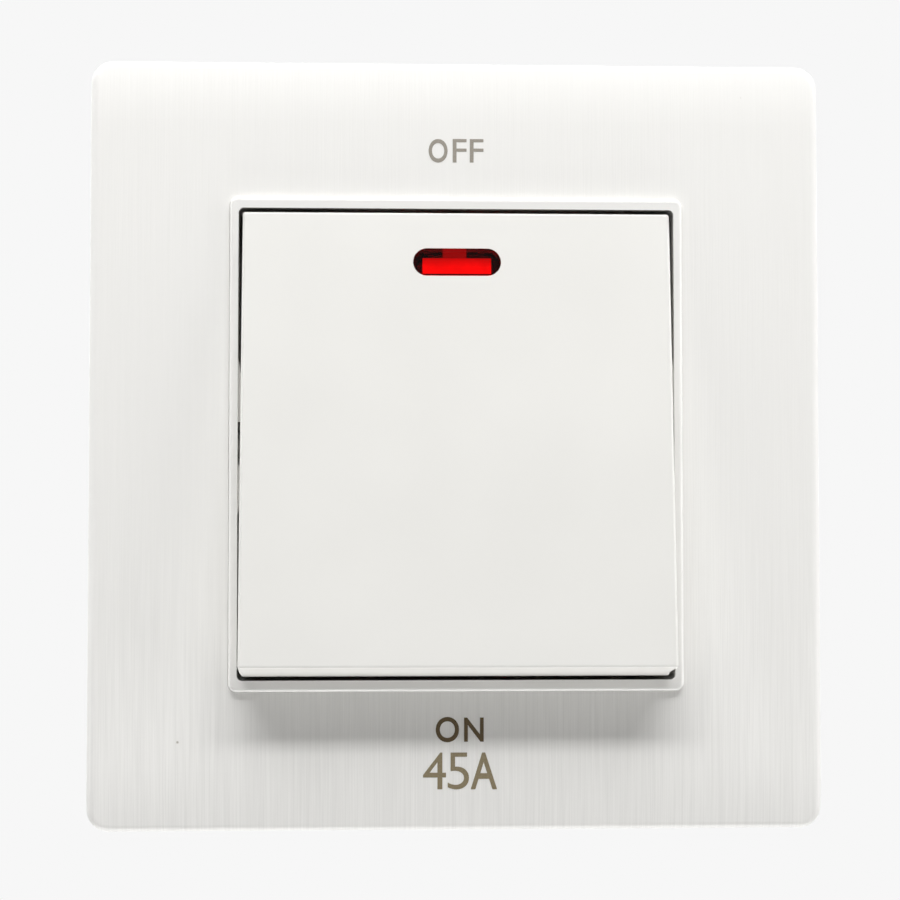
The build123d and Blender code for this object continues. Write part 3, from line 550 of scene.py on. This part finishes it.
def lens_faces():
    """The matt face of the lens's recess and a tab above it, both glowing red with painted light: the
    face for the light that the clear lens gathers, the tab for a glint of the neon lamp seen through the
    lens's top band.
    """
    front = LENS_FACE - LENS_WINDOW - FACE_GAP
    middle = LENS_Z - RECESS_DROP
    top = middle + RECESS_HEIGHT / 2
    across = RECESS_WIDTH / 2 - FACE_GAP
    upright = RECESS_HEIGHT / 2 - FACE_GAP
    face = bmesh.new()
    block(face, -across, across, front - FACE_THICKNESS, front, middle - upright, middle + upright)
    tab = bmesh.new()
    block(tab, TAB_LEFT, TAB_RIGHT, TAB_BACK - FACE_THICKNESS, TAB_BACK, top, top + TAB_RISE)
    for name, shape, finish in (
        ("lens_inner_face", face, LENS_FACE_PAINTED_LIGHT),
        ("lens_painted_glint_tab", tab, LENS_TAB_PAINTED_GLINT),
    ):
        bmesh.ops.transform(shape, matrix=rocker_frame(), verts=shape.verts)
        finished(name, shape, finish, "rocker")


def living_spring(pole):
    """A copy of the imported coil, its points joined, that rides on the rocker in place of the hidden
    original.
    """
    node = f"{pole}_plunger_spring"
    shape = bmesh.new()
    shape.from_mesh(frame["nodes"][node].data)
    bmesh.ops.remove_doubles(shape, verts=shape.verts, dist=MERGE_WITHIN * MM)
    piece = finished(f"{pole}_plunger_coil", shape, SPRING, "rocker")
    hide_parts(node)
    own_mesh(piece)


lettering("off_lettering", OFF_LETTERS, GREY_INK)
lettering("on_lettering", ON_LETTERS, BROWN_INK)
lettering("current_rating", RATING_LETTERS, OLIVE_INK)
lens_faces()
for pole in ("live", "neutral"):
    living_spring(pole)


# Stage, camera and lights

CAMERA_PLACE = Vector((-9.25, -226.52, -9.13)) * MM
CAMERA_AIM = Vector((-0.784, -8.0, -0.747)) * MM
CAMERA_LENS = 74.66
CAMERA_NEAR = 0.01
FLOOR_DROP = 0.80
FLOOR_RADIUS = 2.4
FLOOR_SIDES = 64
FLOOR_MOTTLE = 0.05
# The lamps hardly reach the floor, so that much of the background's own light is added to it
FLOOR_GLOW = 0.6
BACKGROUND = "#F7F7F7"
# Strength of the light that falls from all round
FILL = 0.1
# Each softbox: its bearing clockwise from straight up, its angle from the plate's normal, its distance,
# width and height in metres, and its power in watts
SOFTBOXES = (
    ("overhead_key", 0, 55.5, 0.72, 0.80, 0.07, 4.0),
    ("overhead_soft", 0, 68.0, 0.75, 0.80, 0.29, 4.4),
    ("left_side", 270, 78.0, 0.70, 0.35, 0.70, 1.3),
    ("right_side", 90, 78.0, 0.70, 0.35, 0.70, 2.2),
    ("low_grazing", 180, 86.0, 0.60, 0.70, 0.20, 2.4),
    ("behind_left", 300, 135.0, 0.90, 1.20, 1.00, 4.5),
    ("behind_right", 60, 140.0, 0.90, 1.20, 1.00, 3.5),
)


def camera():
    """The camera, at the place that fits the photograph."""
    made = bpy.data.objects.new("camera", bpy.data.cameras.new("camera"))
    SCENE.collection.objects.link(made)
    made.data.lens = CAMERA_LENS
    made.data.clip_start = CAMERA_NEAR
    turn = (CAMERA_AIM - CAMERA_PLACE).to_track_quat("-Z", "Y").to_matrix().to_4x4()
    made.matrix_world = Matrix.Translation(CAMERA_PLACE) @ turn
    SCENE.camera = made


def seen_by_eye(tree):
    """1 for what the camera sees, also in gloss and through glass, and 0 for the light that falls."""
    path = add(tree, "ShaderNodeLightPath")
    seen = path.outputs["Is Camera Ray"]
    for ray in ("Is Glossy Ray", "Is Transmission Ray"):
        either = add(tree, "ShaderNodeMath", {0: seen, 1: path.outputs[ray]}, operation="MAXIMUM")
        seen = either.outputs["Value"]
    return seen


def world():
    """Soft light from all round, seen as the plain background by the camera, gloss and glass."""
    made = bpy.data.worlds.new("studio")
    SCENE.world = made
    made.use_nodes = True
    tree = made.node_tree
    tree.nodes.clear()
    plain = add(tree, "ShaderNodeBackground", {"Color": linear(BACKGROUND), "Strength": 1.0})
    soft = add(tree, "ShaderNodeBackground", {"Color": linear("#FFFEFC"), "Strength": FILL})
    mix = add(tree, "ShaderNodeMixShader", {"Fac": seen_by_eye(tree)})
    tree.links.new(soft.outputs["Background"], mix.inputs[1])
    tree.links.new(plain.outputs["Background"], mix.inputs[2])
    output = add(tree, "ShaderNodeOutputWorld")
    tree.links.new(mix.outputs["Shader"], output.inputs["Surface"])


def softbox(name, bearing, angle, distance, width, height, power):
    """A rectangular lamp aimed at the plate's middle, which shows in gloss but not to the camera."""
    data = bpy.data.lights.new(name, "AREA")
    data.shape = "RECTANGLE"
    data.size = width
    data.size_y = height
    data.energy = power
    made = bpy.data.objects.new(name, data)
    SCENE.collection.objects.link(made)
    upright = Vector((0, -math.cos(math.radians(angle)), math.sin(math.radians(angle))))
    away = Matrix.Rotation(math.radians(bearing), 3, "Y") @ upright
    turn = away.to_track_quat("Z", "Y").to_matrix().to_4x4()
    made.matrix_world = Matrix.Translation(away * distance) @ turn
    made.visible_camera = False


def floor():
    """Pale paper far below the part, which shows as the plain background does."""
    mesh = bpy.data.meshes.new("floor")
    shape = bmesh.new()
    bmesh.ops.create_circle(shape, cap_ends=True, segments=FLOOR_SIDES, radius=FLOOR_RADIUS)
    bmesh.ops.translate(shape, verts=shape.verts, vec=(0, 0, cad_low.z - FLOOR_DROP))
    shape.to_mesh(mesh)
    shape.free()
    made = bpy.data.objects.new("floor", mesh)
    SCENE.collection.objects.link(made)
    pale, tree, shader = material("floor_paper", Roughness=0.9)
    feed(tree, shader, "Base Color", between(tree, noise(tree, FLOOR_MOTTLE), "#EDEDEC", "#F0F0EF"))
    shader.inputs["Emission Color"].default_value = linear(BACKGROUND)
    glow = add(tree, "ShaderNodeMath", {0: seen_by_eye(tree), 1: FLOOR_GLOW}, operation="MULTIPLY")
    feed(tree, shader, "Emission Strength", glow.outputs["Value"])
    mesh.materials.append(pale)


camera()
world()
for lamp in SOFTBOXES:
    softbox(*lamp)
floor()
SCENE.view_settings.view_transform = "Standard"
